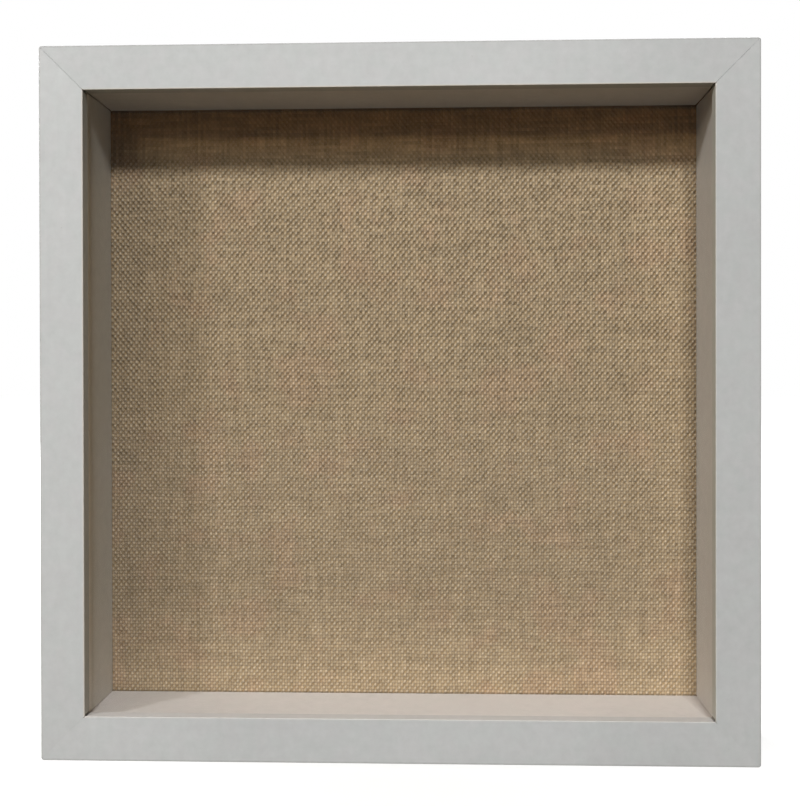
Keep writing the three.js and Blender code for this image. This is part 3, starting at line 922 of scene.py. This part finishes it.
# Felt bumpers
BUMPER_STEPS = 48
BUMPER_PROFILE = [  # shares of the radius and of the thickness, from the wood up over the rounded edge
    (0.97, 0.0), (1.0, 0.12), (1.0, 0.5), (0.99, 0.8),
    (0.95, 0.93), (0.88, 0.985), (0.7, 1.0), (0.35, 1.0),
]
BUMPER_FUZZ = 0.12 * MM
BUMPER_FUZZ_INWARD = 0.6
BUMPER_FUZZ_ROUND = 9  # scales of the fuzz round the edge, up it and from one bumper to another
BUMPER_FUZZ_UP = 4
BUMPER_FUZZ_APART = 90


def felt_bumper(node):
    """Round felt dot in place of its CAD node, with a fuzzy edge."""
    low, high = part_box(node)
    middle = (low + high) / 2
    radius = (high.x - low.x) / 2
    thick = high.y - low.y
    mesh = bmesh.new()
    rings = []
    for share, rise in BUMPER_PROFILE:
        ring = []
        shift = Vector((0, rise * BUMPER_FUZZ_UP, middle.x * BUMPER_FUZZ_APART))
        for step in range(BUMPER_STEPS):
            angle = 2 * math.pi * step / BUMPER_STEPS
            spoke = Vector((math.cos(angle), 0, math.sin(angle)))
            fuzz = BUMPER_FUZZ * (noise.noise(spoke * BUMPER_FUZZ_ROUND + shift) - BUMPER_FUZZ_INWARD)
            point = middle + spoke * (radius * share + fuzz)
            point.y = low.y + thick * rise
            ring.append(mesh.verts.new(point))
        rings.append(ring)
    bridge(mesh, rings)
    mesh.faces.new(rings[0])
    mesh.faces.new(rings[-1])
    new_piece(f"felt_{node}", mesh, felt_look, "frame", [node])


def felt_bumpers():
    for level in ("top", "bottom"):
        for across in ("left", "right"):
            felt_bumper(f"bumper_{level}_{across}")


# Stage
FLOOR_HALF = 6.0
FLOOR_SEGMENTS = 8
FLOOR_SHOWN = tint(202, 202, 201)
FLOOR_BOUNCE = tint(84, 77, 66)  # for the light that it throws on the frame
FLOOR_TONE = 0.98
FLOOR_GRAIN = 0.04
FLOOR_NEAR_GLOW = 0.25  # white of the floor close behind the frame, to which the lamps add the rest
FLOOR_SHADE_BACK = 0.2  # middle of that part of the floor
FLOOR_GLOW_START = 0.1
FLOOR_GLOW_END = 0.5
AMBIENT = 0.01
FIRST_BOUNCE = 0.5  # fewer diffuse bounces than this are none


def seen_directly(tree):
    """1 for what the camera sees, itself or in gloss and clear glass, and 0 for light on things."""
    path = tree.nodes.new("ShaderNodeLightPath").outputs

    def join(operation, first, second):
        made = tree.nodes.new("ShaderNodeMath")
        made.operation = operation
        tree.links.new(first, made.inputs[0])
        if isinstance(second, bpy.types.NodeSocket):
            tree.links.new(second, made.inputs[1])
        else:
            made.inputs[1].default_value = second
        return made.outputs[0]

    clear = join("MAXIMUM", path["Is Camera Ray"], path["Is Transmission Ray"])
    shown = join("MAXIMUM", clear, path["Is Glossy Ray"])
    unscattered = join("LESS_THAN", path["Diffuse Depth"], FIRST_BOUNCE)
    return join("MULTIPLY", shown, unscattered)


def floor_look():
    """Pale floor that looks white, and keeps the shadow at the foot of the frame."""
    shader = Shader("pale_floor")
    away = shader.node("ShaderNodeVectorMath", {"operation": "LENGTH"})
    shader.feed(away.inputs[0], shader.point(shader.x, shader.y - FLOOR_SHADE_BACK, 0.0))
    distance = Field(shader, away.outputs["Value"])
    glow = distance.ramp(FLOOR_GLOW_START, FLOOR_GLOW_END, FLOOR_NEAR_GLOW, 1.0)
    tone = FLOOR_TONE + shader.noise(scale=40.0) * FLOOR_GRAIN
    pale = shader.node("ShaderNodeBsdfDiffuse", Color=shader.shade(FLOOR_SHOWN, tone)).outputs[0]
    white = shader.node("ShaderNodeEmission", Color=WHITE, Strength=glow).outputs[0]
    both = shader.node("ShaderNodeAddShader")
    shader.feed(both.inputs[0], pale)
    shader.feed(both.inputs[1], white)
    matt = shader.node("ShaderNodeBsdfDiffuse", Color=shader.shade(FLOOR_BOUNCE, tone)).outputs[0]
    return shader.finish(shader.mix_surfaces(seen_directly(shader.tree), matt, both.outputs[0]))


def make_floor():
    mesh = bmesh.new()
    bmesh.ops.create_grid(mesh, x_segments=FLOOR_SEGMENTS, y_segments=FLOOR_SEGMENTS, size=FLOOR_HALF)
    data = bpy.data.meshes.new("floor")
    mesh.to_mesh(data)
    mesh.free()
    data.materials.append(floor_look())
    floor = bpy.data.objects.new("floor", data)
    bpy.context.scene.collection.objects.link(floor)


def make_world():
    """White where it is seen, and almost no light on things."""
    world = bpy.data.worlds.new("studio")
    world.use_nodes = True
    tree = world.node_tree
    background = tree.nodes["Background"]
    background.inputs["Color"].default_value = WHITE
    strength = tree.nodes.new("ShaderNodeMapRange")
    strength.inputs["To Min"].default_value = AMBIENT
    strength.inputs["To Max"].default_value = 1.0
    tree.links.new(seen_directly(tree), strength.inputs["Value"])
    tree.links.new(strength.outputs["Result"], background.inputs["Strength"])
    bpy.context.scene.world = world


def lamp(name, right, above, away, width, height, watts, colour=(1.0, 1.0, 1.0), in_gloss=True):
    """Area lamp that faces the frame's middle.

    From the middle of the lip's top it stands so far to the right and above for each metre away. With a
    negative distance it stands behind the frame, and right and above change sign too.
    """
    light = bpy.data.lights.new(name, "AREA")
    light.shape = "RECTANGLE"
    light.size = width
    light.size_y = height
    light.energy = watts
    light.color = colour
    holder = bpy.data.objects.new(name, light)
    lip_top = Vector((0, FRONT, MIDDLE_HEIGHT + SIGHT_HALF))
    holder.location = lip_top + Vector((right, -1, above)) * away
    aim = Vector((0, FRONT, MIDDLE_HEIGHT)) - holder.location
    holder.visible_glossy = in_gloss
    holder.rotation_mode = "QUATERNION"
    holder.rotation_quaternion = aim.to_track_quat("-Z", "Y")
    bpy.context.scene.collection.objects.link(holder)


def make_lamps():
    lamp("main", right=0.093, above=0.743, away=2.3, width=0.55, height=0.337, watts=63.5)
    lamp("left_row", right=-0.66, above=0.735, away=0.9, width=1.08, height=0.115, watts=1.19)
    lamp("left", right=-1.29, above=0.735, away=0.9, width=0.14, height=0.14, watts=9.75)
    lamp(
        "far_row", right=-0.6, above=0.342, away=1.6, width=1.2, height=0.03, watts=8.3,
        colour=(1.0, 0.93, 0.78), in_gloss=False,
    )
    lamp("back_left", right=0.9, above=-0.6, away=-1.2, width=0.6, height=0.6, watts=26.0)
    lamp("back_right", right=-0.7, above=-0.9, away=-1.2, width=0.6, height=0.6, watts=18.0)


def make_camera():
    data = bpy.data.cameras.new("camera")
    data.sensor_width = SENSOR_WIDTH
    data.lens = FOCAL_LENGTH_PIXELS / IMAGE_HEIGHT * SENSOR_WIDTH
    data.shift_x = -AXIS_RIGHT_PIXELS / IMAGE_HEIGHT
    data.shift_y = -AXIS_ABOVE_PIXELS / IMAGE_HEIGHT
    data.clip_start = CLIP_START
    data.clip_end = CLIP_END
    camera = bpy.data.objects.new("camera", data)
    place = Vector((CAMERA_RIGHT, FRONT - CAMERA_AWAY, MIDDLE_HEIGHT + CAMERA_ABOVE))
    facing = Matrix.Rotation(math.radians(CAMERA_YAW), 4, "Z")
    facing @= Matrix.Rotation(math.radians(CAMERA_PITCH), 4, "X")
    facing @= Matrix.Rotation(math.radians(CAMERA_ROLL), 4, "Y")
    facing @= Matrix.Rotation(math.radians(90), 4, "X")
    camera.matrix_world = Matrix.Translation(place) @ facing
    bpy.context.scene.collection.objects.link(camera)
    bpy.context.scene.camera = camera


dress_cad_nodes()
linen_cover()
mitre_fillers()
felt_bumpers()
make_floor()
make_world()
make_lamps()
make_camera()
bpy.context.scene.view_settings.view_transform = "Standard"
